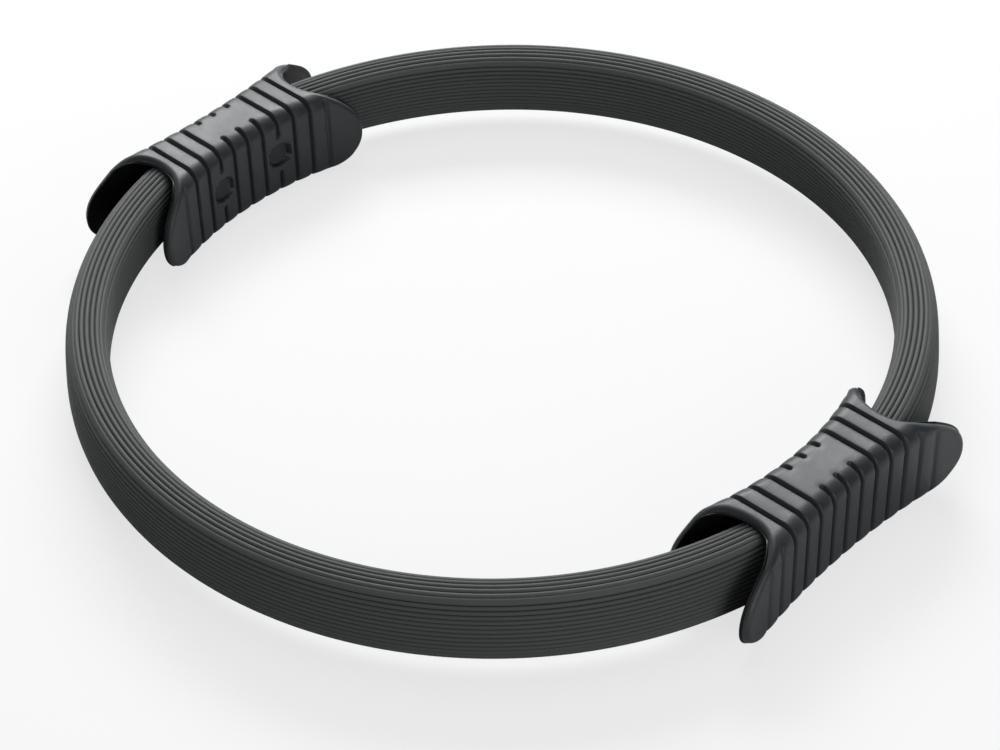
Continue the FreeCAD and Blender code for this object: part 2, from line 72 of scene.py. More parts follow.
class Body(Enum):
    """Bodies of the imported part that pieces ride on."""

    RING = "ring"
    RIGHT_HANDLE = "right_handle"


class Side(Enum):
    """Side of the ring that a handle is on, as the sign of its X."""

    LEFT = -1
    RIGHT = 1

    @property
    def label(self) -> str:
        """Word that starts the names of this side's pieces."""
        return self.name.lower()

    @property
    def body(self) -> Body:
        """Body that this side's handle moves with."""
        return Body.RIGHT_HANDLE if self is Side.RIGHT else Body.RING


class Slot(Enum):
    """Material slots of the record."""

    SLEEVE = "sleeve_rubber"
    GRIP = "grip_rubber"
    CORE = "core_plastic"
    PLUG = "plug_plastic"
    SPRING = "spring_steel"
    FASTENER = "fastener_steel"


def smoothstep(low: float, high: float, value: np.ndarray) -> np.ndarray:
    """Soft step between two limits.

    Args:
        low: Where the step starts from 0.
        high: Where it reaches 1.
        value: Places to read it at.

    Returns:
        Values from 0 to 1.
    """
    share = np.clip((value - low) / (high - low), 0.0, 1.0)
    return share * share * (3.0 - 2.0 * share)


def grid_faces(rows: int, columns: int, closed: bool = True) -> np.ndarray:
    """Quads of a grid of points that is stored row by row.

    Args:
        rows: Number of rows.
        columns: Number of points in each row.
        closed: Whether the last column meets the first.

    Returns:
        Point numbers, four for each quad.
    """
    last = columns if closed else columns - 1
    row, column = np.meshgrid(np.arange(rows - 1), np.arange(last), indexing="ij")
    here = row * columns + column
    beside = row * columns + (column + 1) % columns
    return np.stack([here, beside, beside + columns, here + columns], axis=-1).reshape(-1, 4)


def mesh_object(
    name: str,
    points: np.ndarray,
    faces: list[list[int]],
    relief: np.ndarray | None = None,
    flow: np.ndarray | None = None,
) -> bpy.types.Object:
    """Makes a smooth-shaded object from points in millimetres.

    Args:
        name: Name of the object and its mesh.
        points: Places of the points.
        faces: Point numbers of each face, turned outwards.
        relief: Height of each point on its pattern, from 0 in a groove to 1 on top.
        flow: Length along and around the piece at each point, in metres, kept as a UV map.

    Returns:
        The object, linked to the scene.
    """
    mesh = bpy.data.meshes.new(name)
    mesh.from_pydata((points * MM).tolist(), [], faces)
    mesh.shade_smooth()
    mesh.set_sharp_from_angle(angle=SHARP_ANGLE)
    if relief is not None:
        heights = mesh.attributes.new(RELIEF, "FLOAT", "POINT")
        heights.data.foreach_set("value", relief.astype(np.float32))
    if flow is not None:
        corners = np.empty(len(mesh.loops), dtype=np.int32)
        mesh.loops.foreach_get("vertex_index", corners)
        layer = mesh.uv_layers.new(name=FLOW)
        layer.data.foreach_set("uv", flow[corners].astype(np.float32).ravel())
    item = bpy.data.objects.new(name, mesh)
    bpy.context.scene.collection.objects.link(item)
    return item


def turned_outwards(points: np.ndarray, quads: np.ndarray) -> list[list[int]]:
    """Turns the quads of an almost closed piece so that they face out of it.

    Args:
        points: Places of the points.
        quads: Point numbers of the quads, all turned the same way.

    Returns:
        The quads as lists.
    """
    a, b, c, d = (points[quads[:, k]] for k in range(4))
    centre = points.mean(axis=0)
    normal = np.cross(c - a, d - b)
    outward = float(((a + c) / 2 - centre).ravel() @ normal.ravel())
    return (quads if outward > 0 else quads[:, ::-1]).tolist()


def swept(outline: np.ndarray, angles: np.ndarray) -> tuple[np.ndarray, list[list[int]]]:
    """Sweeps a closed outline round the ring's axis and closes both ends.

    Args:
        outline: Section points, across from the ring's mid radius and up from its middle plane.
        angles: Angles round the axis, one for each row of points.

    Returns:
        The points, and the faces turned outwards.
    """
    radius = RING_RADIUS + outline[None, :, 0]
    points = np.stack(
        [
            radius * np.cos(angles)[:, None],
            radius * np.sin(angles)[:, None],
            MID_HEIGHT + np.repeat(outline[None, :, 1], len(angles), axis=0),
        ],
        axis=-1,
    ).reshape(-1, 3)
    columns = len(outline)
    first = list(range(columns))
    last = [len(points) - columns + k for k in first]
    faces = grid_faces(len(angles), columns).tolist() + [first[::-1], last]
    if angles[-1] > angles[0]:
        faces = [face[::-1] for face in faces]
    return points, faces


class NodeTree:
    """Short calls for laying out a shader tree."""

    spacing = (40.0, -30.0)
    mix_inputs = (0, 6, 7)
    mix_result = 2

    def __init__(self, tree: bpy.types.NodeTree) -> None:
        """Keeps the tree that the calls add to."""
        self.tree = tree
        self.step = 0

    def add(self, kind: str, **inputs: object) -> bpy.types.Node:
        """Adds a node.

        Args:
            kind: Blender's name of the node type.
            **inputs: Socket names, with _ for a space, and a value or a socket to link from.

        Returns:
            The node.
        """
        node = self.tree.nodes.new(kind)
        self.step += 1
        node.location = tuple(self.step * gap for gap in self.spacing)
        for name, value in inputs.items():
            self.feed(node.inputs[name.replace("_", " ")], value)
        return node

    def feed(self, socket: bpy.types.NodeSocket, value: object) -> None:
        """Links a socket or sets its value.

        Args:
            socket: Socket to feed.
            value: A socket to link from, or a value.
        """
        if isinstance(value, bpy.types.NodeSocket):
            self.tree.links.new(value, socket)
        else:
            socket.default_value = value

    def group(self, tree: bpy.types.NodeTree, **inputs: object) -> bpy.types.Node:
        """Places a shader group.

        Args:
            tree: The group.
            **inputs: Socket names, with _ for a space, and a value or a socket to link from.

        Returns:
            The node.
        """
        node = self.add("ShaderNodeGroup")
        node.node_tree = tree
        for name, value in inputs.items():
            self.feed(node.inputs[name.replace("_", " ")], value)
        return node

    def math(self, operation: str, first: object, second: object) -> bpy.types.NodeSocket:
        """Works on two values.

        Args:
            operation: Blender's name of the operation.
            first: Value or socket.
            second: Value or socket.

        Returns:
            The result's socket.
        """
        node = self.add("ShaderNodeMath")
        node.operation = operation
        self.feed(node.inputs[0], first)
        self.feed(node.inputs[1], second)
        return node.outputs[0]

    def remap(
        self, value: object, low: float, high: float, to_low: float, to_high: float
    ) -> bpy.types.NodeSocket:
        """Moves a value smoothly from one range to another.

        Args:
            value: Socket to read.
            low: Start of its range.
            high: End of its range.
            to_low: Result at the start.
            to_high: Result at the end.

        Returns:
            The result's socket.
        """
        node = self.add("ShaderNodeMapRange")
        node.interpolation_type = "SMOOTHSTEP"
        labels = ("From Min", "From Max", "To Min", "To Max")
        for name, number in zip(labels, (low, high, to_low, to_high)):
            node.inputs[name].default_value = number
        self.feed(node.inputs["Value"], value)
        return node.outputs["Result"]

    def mix(self, share: object, first: object, second: object) -> bpy.types.NodeSocket:
        """Mixes two colours.

        Args:
            share: How much of the second colour there is.
            first: Colour or socket.
            second: Colour or socket.

        Returns:
            The result's socket.
        """
        node = self.add("ShaderNodeMix")
        node.data_type = "RGBA"
        for index, value in zip(self.mix_inputs, (share, first, second)):
            self.feed(node.inputs[index], value)
        return node.outputs[self.mix_result]

    def noise(self, vector: object, scale: object, detail: float, roughness: float) -> bpy.types.NodeSocket:
        """Noise value at a place."""
        node = self.add("ShaderNodeTexNoise", Vector=vector, Scale=scale, Detail=detail, Roughness=roughness)
        return node.outputs[0]


class PatternGroups:
    """Shader groups that several finishes share, each built once."""

    fine_detail = (3.0, 0.6)
    patch_detail = (4.0, 0.62)
    fine_share = 0.6
    cell_share = 0.4
    top_relief = (0.72, 1.0)
    # Relief range over which the painted shade in the grooves fades from full to none.
    groove_shade_relief = (0.0, 0.55)
    worn_patches = (0.35, 0.7)
    least_worn = 0.25

    def __init__(self) -> None:
        """Builds both groups."""
        self.grain = self.build_grain()
        self.relief_wear_and_shade = self.build_relief_wear_and_shade()

    @staticmethod
    def new_group(name: str, inputs: dict[str, str], outputs: dict[str, str]) -> bpy.types.NodeTree:
        """Makes an empty group.

        Args:
            name: Name of the group.
            inputs: Socket types by socket name.
            outputs: Socket types by socket name.

        Returns:
            The group's tree.
        """
        tree = bpy.data.node_groups.new(name, "ShaderNodeTree")
        for label, kind in inputs.items():
            tree.interface.new_socket(label, in_out="INPUT", socket_type=kind)
        for label, kind in outputs.items():
            tree.interface.new_socket(label, in_out="OUTPUT", socket_type=kind)
        return tree

    def build_grain(self) -> bpy.types.NodeTree:
        """Builds a moulded skin: a fine height, and slow patches for colour and gloss.

        Returns:
            The group.
        """
        tree = self.new_group(
            "moulded_grain",
            {"Vector": "NodeSocketVector", "Scale": "NodeSocketFloat", "Patch Scale": "NodeSocketFloat"},
            {"Height": "NodeSocketFloat", "Patches": "NodeSocketFloat"},
        )
        lay = NodeTree(tree)
        given = lay.add("NodeGroupInput").outputs
        fine = lay.noise(given["Vector"], given["Scale"], *self.fine_detail)
        cells = lay.add("ShaderNodeTexVoronoi", Vector=given["Vector"], Scale=given["Scale"])
        height = lay.math(
            "ADD",
            lay.math("MULTIPLY", fine, self.fine_share),
            lay.math("MULTIPLY", cells.outputs["Distance"], self.cell_share),
        )
        patches = lay.noise(given["Vector"], given["Patch Scale"], *self.patch_detail)
        result = lay.add("NodeGroupOutput")
        lay.feed(result.inputs["Height"], height)
        lay.feed(result.inputs["Patches"], patches)
        return tree

    def build_relief_wear_and_shade(self) -> bpy.types.NodeTree:
        """Builds the rubbed tops of a patterned piece, broken up by its patches, and the painted shade that
        darkens its grooves.

        Returns:
            The group.
        """
        tree = self.new_group(
            "relief_wear_and_shade",
            {"Relief": "NodeSocketFloat", "Patches": "NodeSocketFloat"},
            {"Rubbed": "NodeSocketFloat", "Hollow": "NodeSocketFloat"},
        )
        lay = NodeTree(tree)
        given = lay.add("NodeGroupInput").outputs
        top = lay.remap(given["Relief"], *self.top_relief, 0.0, 1.0)
        worn = lay.remap(given["Patches"], *self.worn_patches, self.least_worn, 1.0)
        rubbed = lay.math("MULTIPLY", top, worn)
        # Painted shade: full at the groove bottoms and fading out up the relief, standing in for the shade that
        # falls in the grooves.
        hollow = lay.remap(given["Relief"], *self.groove_shade_relief, 1.0, 0.0)
        result = lay.add("NodeGroupOutput")
        lay.feed(result.inputs["Rubbed"], rubbed)
        lay.feed(result.inputs["Hollow"], hollow)
        return tree


Colour = tuple[float, float, float, float]


def grey(red: float, green: float, blue: float) -> Colour:
    """Opaque colour."""
    return (red, green, blue, 1.0)


@dataclass(frozen=True)
class Finish:
    """What every finish has: a colour, a range of roughness and a grain."""

    name: str
    base: Colour
    roughness: tuple[float, float]
    grain_scale: float
    patch_scale: float

    def start(self) -> tuple[bpy.types.Material, NodeTree, bpy.types.Node]:
        """Makes a material with a plain shader.

        Returns:
            The material, its tree and its shader.
        """
        material = bpy.data.materials.new(self.name)
        material.use_nodes = True
        lay = NodeTree(material.node_tree)
        return material, lay, material.node_tree.nodes["Principled BSDF"]

    def lay_grain(self, lay: NodeTree, groups: PatternGroups, place: object) -> bpy.types.Node:
        """Places the grain group with this finish's scales."""
        scales = {"Scale": self.grain_scale, "Patch_Scale": self.patch_scale}
        return lay.group(groups.grain, Vector=place, **scales)


@dataclass(frozen=True)
class MouldedFinish(Finish):
    """Rubber or plastic with a fine moulded skin."""

    shine: float
    grain_depth: float

    def lay_skin(self, lay: NodeTree, shader: bpy.types.Node, height: object) -> None:
        """Sets the shine and the fine bumps of the skin.

        Args:
            lay: Tree of the material.
            shader: Shader of the material.
            height: Socket that gives the grain's height.
        """
        shader.inputs["Specular IOR Level"].default_value = self.shine
        bump = lay.add("ShaderNodeBump", Height=height, Strength=1.0, Distance=self.grain_depth)
        lay.feed(shader.inputs["Normal"], bump.outputs["Normal"])


@dataclass(frozen=True)
class RubberFinish(MouldedFinish):
    """Soft rubber with a fine skin, rubbed on top of its pattern, with painted shade darkening its grooves."""

    rubbed: Colour
    # Painted shade: colour that darkens the grooves where shade falls.
    hollow: Colour
    stretch: tuple[float, float, float] = (1.0, 1.0, 1.0)
    along_flow: bool = False
    gloss_patches: tuple[float, float] = (0.3, 0.7)

    def build(self, groups: PatternGroups) -> bpy.types.Material:
        """Makes the material.

        Args:
            groups: Shared shader groups.

        Returns:
            The material.
        """
        material, lay, shader = self.start()
        if self.along_flow:
            where = lay.add("ShaderNodeUVMap")
            where.uv_map = FLOW
            place = where.outputs["UV"]
        else:
            place = lay.add("ShaderNodeTexCoord").outputs["Object"]
        spread = lay.add("ShaderNodeMapping", Vector=place, Scale=self.stretch)
        grain = self.lay_grain(lay, groups, spread.outputs["Vector"]).outputs
        relief = lay.add("ShaderNodeAttribute")
        relief.attribute_name = RELIEF
        wear_and_shade = lay.group(groups.relief_wear_and_shade, Relief=relief.outputs["Fac"], Patches=grain["Patches"]).outputs
        colour = lay.mix(wear_and_shade["Rubbed"], self.base, self.rubbed)
        # Painted shade: the groove colour darkens the bottoms of the grooves.
        colour = lay.mix(wear_and_shade["Hollow"], colour, self.hollow)
        lay.feed(shader.inputs["Base Color"], colour)
        gloss = lay.remap(grain["Patches"], *self.gloss_patches, *self.roughness)
        lay.feed(shader.inputs["Roughness"], gloss)
        self.lay_skin(lay, shader, grain["Height"])
        return material


@dataclass(frozen=True)
class PlasticFinish(MouldedFinish):
    """Moulded plastic with faint smears in its gloss."""

    smeared: Colour
    smear_patches: tuple[float, float] = (0.45, 0.75)
    gloss_patches: tuple[float, float] = (0.35, 0.7)

    def build(self, groups: PatternGroups) -> bpy.types.Material:
        """Makes the material.

        Args:
            groups: Shared shader groups.

        Returns:
            The material.
        """
        material, lay, shader = self.start()
        place = lay.add("ShaderNodeTexCoord").outputs["Object"]
        grain = self.lay_grain(lay, groups, place).outputs
        smear = lay.remap(grain["Patches"], *self.smear_patches, 0.0, 1.0)
        lay.feed(shader.inputs["Base Color"], lay.mix(smear, self.base, self.smeared))
        gloss = lay.remap(grain["Patches"], *self.gloss_patches, *self.roughness)
        lay.feed(shader.inputs["Roughness"], gloss)
        self.lay_skin(lay, shader, grain["Height"])
        return material


@dataclass(frozen=True)
class SteelFinish(Finish):
    """Steel with a drawn or rolled grain along one direction."""

    streak: Colour
    stretch: tuple[float, float, float]
    gloss_heights: tuple[float, float] = (0.3, 0.7)

    def build(self, groups: PatternGroups) -> bpy.types.Material:
        """Makes the material.

        Args:
            groups: Shared shader groups.

        Returns:
            The material.
        """
        material, lay, shader = self.start()
        place = lay.add("ShaderNodeTexCoord").outputs["Object"]
        spread = lay.add("ShaderNodeMapping", Vector=place, Scale=self.stretch)
        grain = self.lay_grain(lay, groups, spread.outputs["Vector"]).outputs
        lay.feed(shader.inputs["Base Color"], lay.mix(grain["Patches"], self.base, self.streak))
        gloss = lay.remap(grain["Height"], *self.gloss_heights, *self.roughness)
        lay.feed(shader.inputs["Roughness"], gloss)
        shader.inputs["Metallic"].default_value = 1.0
        return material


class Finishes:
    """One material for each slot of the record."""

    def __init__(self) -> None:
        """Builds every material."""
        groups = PatternGroups()
        sleeve = RubberFinish(
            name="extruded_grey_rubber",
            base=grey(0.098, 0.105, 0.104),
            rubbed=grey(0.112, 0.120, 0.119),
            # Painted shade in the valleys between the ribs, darker than the rubber's own colour.
            hollow=grey(0.040, 0.043, 0.042),
            roughness=(0.46, 0.56),
            shine=0.13,
            grain_scale=900.0,
            patch_scale=40.0,
            grain_depth=0.00003,
            stretch=(0.06, 1.0, 1.0),
            along_flow=True,
        )
        grip = RubberFinish(
            name="soft_blue_grey_rubber",
            base=grey(0.031, 0.036, 0.040),
            rubbed=grey(0.038, 0.044, 0.049),
            # Painted shade in the grip's grooves and plug dips, darker than the rubber's own colour.
            hollow=grey(0.016, 0.018, 0.020),
            roughness=(0.36, 0.46),
            shine=0.38,
            grain_scale=1500.0,
            patch_scale=55.0,
            grain_depth=0.00006,
        )
        core = PlasticFinish(
            name="glossy_black_plastic",
            base=grey(0.006, 0.006, 0.0065),
            smeared=grey(0.009, 0.009, 0.0095),
            roughness=(0.26, 0.38),
            shine=0.16,
            grain_scale=700.0,
            patch_scale=60.0,
            grain_depth=0.00001,
        )
        plug = PlasticFinish(
            name="matt_blue_grey_plastic",
            base=grey(0.032, 0.037, 0.041),
            smeared=grey(0.038, 0.044, 0.049),
            roughness=(0.42, 0.54),
            shine=0.22,
            grain_scale=1600.0,
            patch_scale=90.0,
            grain_depth=0.00003,
        )
        spring = SteelFinish(
            name="rolled_spring_steel",
            base=grey(0.36, 0.37, 0.39),
            streak=grey(0.50, 0.51, 0.53),
            roughness=(0.26, 0.42),
            grain_scale=900.0,
            patch_scale=120.0,
            stretch=(0.1, 0.1, 1.0),
        )
        fastener = SteelFinish(
            name="zinc_plated_steel",
            base=grey(0.56, 0.56, 0.58),
            streak=grey(0.66, 0.66, 0.67),
            roughness=(0.22, 0.36),
            grain_scale=900.0,
            patch_scale=120.0,
            stretch=(1.0, 1.0, 1.0),
        )
        finishes = (sleeve, grip, core, plug, spring, fastener)
        self.by_slot = {slot: finish.build(groups) for slot, finish in zip(Slot, finishes)}

    def dress(self, item: bpy.types.Object, slot: Slot) -> None:
        """Gives an object the material of a slot.

        Args:
            item: Object to dress.
            slot: Slot of the record.
        """
        item.data.materials.clear()
        item.data.materials.append(self.by_slot[slot])


@dataclass
class RibbedSleeve:
    """Extruded sleeve: wide ribs on the crown, a plain land at each shoulder and fine ribs down the sides."""

    half_thickness: float = 9.0
    half_height: float = 16.3
    lean: float = 5.0
    crown_power: float = 2.4
    side_power: float = 4.0
    crown_ribs: int = 5
    crown_width: float = 2.3
    shoulder_land: float = 3.2
    side_ribs: int = 12
    crown_depth: float = 0.9
    land_depth: float = 0.35
    side_depth: float = 0.75
    rib_points: int = 8
    rib_roundness: float = 2.4
    land_flatness: float = 6.0
    end_offset: float = 31.3
    segments: int = 120
    outline_steps: int = 4000

    def quarter(self) -> tuple[np.ndarray, np.ndarray, np.ndarray]:
        """Quarter of the section's envelope from the crown's middle to the side's middle.

        Returns:
            The length run so far, the places and the outward normals.
        """
        angle = np.linspace(0.0, math.pi / 2, self.outline_steps + 1)
        across = self.half_thickness * np.sin(angle) ** (2.0 / self.crown_power)
        up = self.half_height * np.clip(np.cos(angle), 0.0, 1.0) ** (2.0 / self.side_power)
        place = np.stack([across, up], axis=1)
        run = np.concatenate([[0.0], np.cumsum(np.linalg.norm(np.diff(place, axis=0), axis=1))])
        wide, tall = self.half_thickness, self.half_height
        steep = np.stack(
            [
                self.crown_power * (across / wide) ** (self.crown_power - 1) / wide,
                self.side_power * (up / tall) ** (self.side_power - 1) / tall,
            ],
            axis=1,
        )
        return run, place, steep / np.linalg.norm(steep, axis=1, keepdims=True)

    def borders(self, quarter_length: float) -> tuple[np.ndarray, np.ndarray, np.ndarray]:
        """Where the ribs of one quarter meet, from a rib that may straddle the crown's middle.

        Args:
            quarter_length: Length of the envelope from the crown's middle to the side's middle.

        Returns:
            The lengths at which ribs meet, the depth of the foot at each and the shape power of each rib.
        """
        odd = self.crown_ribs % 2
        crown = (np.arange(self.crown_ribs // 2 + odd + 1) - odd / 2) * self.crown_width
        side_start = crown[-1] + self.shoulder_land
        side = np.linspace(side_start, quarter_length, self.side_ribs // 2 + 1)
        depth = np.concatenate([np.full(len(crown), self.crown_depth), np.full(len(side), self.side_depth)])
        depth[len(crown) - 1] = self.land_depth
        power = np.full(len(depth) - 1, self.rib_roundness)
        power[len(crown) - 1] = self.land_flatness
        return np.concatenate([crown, side]), depth, power

    def quarter_profile(self) -> tuple[np.ndarray, np.ndarray]:
        """Ribbed outline of one quarter, from the crown's middle to the side's middle.

        Returns:
            The places, and the height of each on its rib from 0 to 1.
        """
        run, place, normal = self.quarter()
        border, depth, power = self.borders(run[-1])
        lengths, offsets, relief = [], [], []
        for start, end, foot, next_foot, shape in zip(border, border[1:], depth, depth[1:], power):
            share = np.arange(self.rib_points) / self.rib_points
            bow = np.abs(2.0 * share - 1.0) ** shape
            lengths.append(start + share * (end - start))
            offsets.append(-bow * np.where(share < 0.5, foot, next_foot))
            relief.append(1.0 - bow)
        lengths.append(border[-1:])
        offsets.append(-depth[-1:])
        relief.append(np.zeros(1))
        at = np.concatenate(lengths)
        kept = at >= 0.0
        points = np.stack([np.interp(at[kept], run, place[:, k]) for k in range(2)], axis=1)
        outward = np.stack([np.interp(at[kept], run, normal[:, k]) for k in range(2)], axis=1)
        return points + outward * np.concatenate(offsets)[kept, None], np.concatenate(relief)[kept]

    def profile(self) -> tuple[np.ndarray, np.ndarray]:
        """Whole ribbed outline, closed.

        Returns:
            The places, and the height of each on its rib from 0 to 1.
        """
        quarter, relief = self.quarter_profile()
        lower = (quarter * (1, -1))[::-1][1:]
        right = np.concatenate([quarter, lower])
        right_relief = np.concatenate([relief, relief[::-1][1:]])
        left = (right * (-1, 1))[::-1][1:-1]
        outline = self.leaned(np.concatenate([right, left]))
        return outline, np.concatenate([right_relief, right_relief[::-1][1:-1]])

    def leaned(self, outline: np.ndarray) -> np.ndarray:
        """Section points turned so that the crown leans towards the ring's middle."""
        turn = math.radians(self.lean)
        return outline @ np.array([[math.cos(turn), math.sin(turn)], [-math.sin(turn), math.cos(turn)]])

    def around(self, directions: np.ndarray, gap: float) -> np.ndarray:
        """Points round the plain envelope.

        Args:
            directions: Ways from the section's middle, across and up.
            gap: How far outside the envelope the points are.

        Returns:
            One section point for each direction.
        """
        angle = np.arctan2(directions[:, 1] / self.half_height, directions[:, 0] / self.half_thickness)
        sides, heights = np.cos(angle), np.sin(angle)
        across = (self.half_thickness + gap) * np.sign(sides) * np.abs(sides) ** (2.0 / self.crown_power)
        up = (self.half_height + gap) * np.sign(heights) * np.abs(heights) ** (2.0 / self.side_power)
        return self.leaned(np.stack([across, up], axis=1))

    def build(self, name: str, facing: int) -> bpy.types.Object:
        """Makes one sleeve.

        Args:
            name: Name of the object.
            facing: Sign of the Y side that the sleeve is on.

        Returns:
            The sleeve.
        """
        outline, relief = self.profile()
        end = math.asin(self.end_offset / (RING_RADIUS - self.half_thickness))
        angles = facing * np.linspace(end, math.pi - end, self.segments + 1)
        points, faces = swept(outline, angles)
        around = np.concatenate([[0.0], np.cumsum(np.linalg.norm(np.diff(outline, axis=0), axis=1))])
        along = RING_RADIUS * np.abs(angles)
        flow = np.stack(np.meshgrid(along, around, indexing="ij"), axis=-1).reshape(-1, 2) * MM
        return mesh_object(name, points, faces, np.tile(relief, len(angles)), flow)


@dataclass
class SpringStrip:
    """Flat spring-steel strip inside the sleeves, open at the splice in the left handle."""

    thickness: float = 1.5
    height: float = 24.0
    edge: float = 0.4
    splice_gap: float = 1.0
    segments: int = 160

    def build(self, name: str) -> bpy.types.Object:
        """Makes the strip.

        Args:
            name: Name of the object.

        Returns:
            The strip.
        """
        half, tall = self.thickness / 2, self.height / 2
        corner = [(half - self.edge, tall), (half, tall - self.edge)]
        right = corner + [(across, -up) for across, up in reversed(corner)]
        outline = np.array(right + [(-across, -up) for across, up in right])
        open_angle = self.splice_gap / 2 / RING_RADIUS
        angles = np.linspace(-math.pi + open_angle, math.pi - open_angle, self.segments + 1)
        return mesh_object(name, *swept(outline, angles))


@dataclass
class HandleForm:
    """Hourglass outside of a handle, as columns round its section that each run from mouth to mouth.

    The two rim tables give where the mouth's rim is along the handle, by the distance round the section from
    the middle of the top face to the level of the lobe's tip.
    """

    waist_inner: float = 151.5
    waist_outer: float = 180.4
    inner_bow: tuple[float, float] = (57.5, 11.5)
    outer_bow: tuple[float, float] = (66.5, 6.5)
    upper_height: float = 20.4
    lower_height: float = 22.5
    edge_radius: float = 7.0
    tip_level: float = -5.0
    rim_radius: float = 2.4
    rim_softness: float = 3.4
    rim_slant: float = 0.35
    mouth_station: float = 45.0
    inner_rim: tuple[tuple[float, float], ...] = (
        (0.0, 39.2), (8.0, 40.0), (13.0, 41.8), (17.0, 44.6), (21.0, 48.6),
        (24.5, 52.8), (28.5, 56.6), (33.0, 58.9), (38.8, 59.6),
    )
    outer_rim: tuple[tuple[float, float], ...] = (
        (0.0, 39.2), (6.0, 40.5), (11.0, 43.6), (15.0, 48.4), (19.0, 55.0),
        (22.5, 60.6), (26.0, 64.8), (30.0, 67.4), (35.6, 68.4),
    )
    face_columns: tuple[int, int, int, int] = (46, 46, 34, 72)
    corner_columns: int = 11

    def __post_init__(self) -> None:
        """Sets out the columns and the rim."""
        self.lay_columns()
        self.lay_rim()

    @property
    def middle(self) -> float:
        """X of the handle's middle line."""
        return (self.waist_inner + self.waist_outer) / 2

    @staticmethod
    def bow(reach: float, flare: float, along: np.ndarray) -> np.ndarray:
        """How far a face that flares by an arc has moved out at a place along the handle."""
        radius = (reach**2 + flare**2) / (2 * flare)
        return radius - np.sqrt(radius**2 - along**2)

    def lay_columns(self) -> None:
        """Sets out the section: a share between the two faces, an offset from it, a height and a normal."""
        radius = self.edge_radius
        high, low = self.upper_height - radius, radius - self.lower_height
        top, outer, bottom, inner = (np.arange(count) / count for count in self.face_columns)
        turn = np.arange(self.corner_columns) / self.corner_columns * math.pi / 2
        parts: list[tuple[np.ndarray, np.ndarray, np.ndarray, np.ndarray]] = []

        def face(share: np.ndarray, offset: np.ndarray, up: np.ndarray, facing: float) -> None:
            """Adds the columns of one flat face, which all face the same way."""
            parts.append((share, offset, up, np.full_like(share, facing)))

        def edge(share: float, start: float, sign_x: float, level: float) -> None:
            """Adds the columns of one rounded edge.

            Args:
                share: Share between the two faces that the edge belongs to.
                start: Angle from which it turns clockwise.
                sign_x: Sign of the X way that the edge's side faces.
                level: Height of the edge's middle.
            """
            facing = start - turn
            offset = radius * (np.cos(facing) - sign_x)
            parts.append((np.full_like(facing, share), offset, level + radius * np.sin(facing), facing))

        face(top, radius * (1 - 2 * top), np.full_like(top, self.upper_height), math.pi / 2)
        edge(1.0, math.pi / 2, 1.0, high)
        face(np.ones_like(outer), np.zeros_like(outer), high + (low - high) * outer, 0.0)
        edge(1.0, 0.0, 1.0, low)
        back = 1 - bottom
        face(back, radius * (1 - 2 * back), np.full_like(back, -self.lower_height), -math.pi / 2)
        edge(0.0, -math.pi / 2, -1.0, low)
        face(np.zeros_like(inner), np.zeros_like(inner), low + (high - low) * inner, math.pi)
        edge(0.0, math.pi, -1.0, high)
        self.share, self.offset, self.up, facing = (np.concatenate(part) for part in zip(*parts))
        self.normal = np.stack([np.cos(facing), np.zeros_like(facing), np.sin(facing)], axis=1)

    def surface(self, along: np.ndarray) -> np.ndarray:
        """Points of the plain outside.

        Args:
            along: Place along the handle of each column, in one or more rows.

        Returns:
            The points, in the frame of a right handle with its middle at height 0.
        """
        inner = self.waist_inner - self.bow(*self.inner_bow, along)
        outer = self.waist_outer + self.bow(*self.outer_bow, along)
        across = inner * (1 - self.share) + outer * self.share + self.offset
        return np.stack([across, along, np.broadcast_to(self.up, along.shape)], axis=-1)

    def lay_rim(self) -> None:
        """Sets where the rim's roll starts on each column, and the way in which it runs out over the edge."""
        place = self.surface(np.full(len(self.up), self.mouth_station))
        aside = np.abs(place[:, 0] - self.middle)
        high, low = self.upper_height - self.edge_radius, self.edge_radius - self.lower_height
        above = self.up >= self.tip_level
        slope_x, slope_z = np.abs(self.normal[:, 0]), np.abs(self.normal[:, 2])
        steep = np.arctan2(slope_x, slope_z)
        flat = np.abs(place[:, 0] - self.edge_radius * self.normal[:, 0] - self.middle)
        down = np.where(slope_z < NO_SLOPE, np.where(above, high - self.up, self.up - low), 0.0)
        run = np.where(steep > NO_SLOPE, flat + self.edge_radius * steep + down, aside)
        reach = np.zeros_like(run)
        inner = place[:, 0] < self.middle
        for table, face in ((self.inner_rim, inner), (self.outer_rim, ~inner)):
            at, value = np.array(table).T
            for here in (face & above, face & ~above):
                reach[here] = np.interp(run[here] * at[-1] / run[here].max(), at, value)
        reach = self.softened(reach, place)
        tip = self.surface(reach)
        out = np.cross(np.roll(tip, -1, axis=0) - np.roll(tip, 1, axis=0), self.normal)
        out *= np.sign(out[:, 1:2]) / np.linalg.norm(out, axis=1, keepdims=True)
        self.out = out
        self.start = reach - self.rim_radius / np.clip(out[:, 1], self.rim_slant, 1.0)

    def softened(self, reach: np.ndarray, place: np.ndarray) -> np.ndarray:
        """Rim places with soft changes round the mouth.

        Args:
            reach: Place of the rim along the handle on each column.
            place: Points of the section, to measure round it.

        Returns:
            The softened places.
        """
        step = np.linalg.norm(np.roll(place, -1, axis=0) - place, axis=1)
        run = np.cumsum(step) - step
        gap = np.abs(run[:, None] - run[None, :])
        gap = np.minimum(gap, step.sum() - gap)
        weight = np.exp(-0.5 * (gap / self.rim_softness) ** 2) * ((step + np.roll(step, 1)) / 2)[None, :]
        return (weight @ reach) / weight.sum(axis=1)

    def at_rim(self, sign: int, back: float, depth: float) -> np.ndarray:
        """Points at a distance behind the rim's tip and below the outside.

        Args:
            sign: End of the handle, as the sign of Y.
            back: Distance behind the tip.
            depth: Distance below the plain outside.

        Returns:
            One point for each column.
        """
        edge = self.surface(sign * self.start)
        return edge + self.out * (1, sign, 1) * (self.rim_radius - back) - self.normal * depth

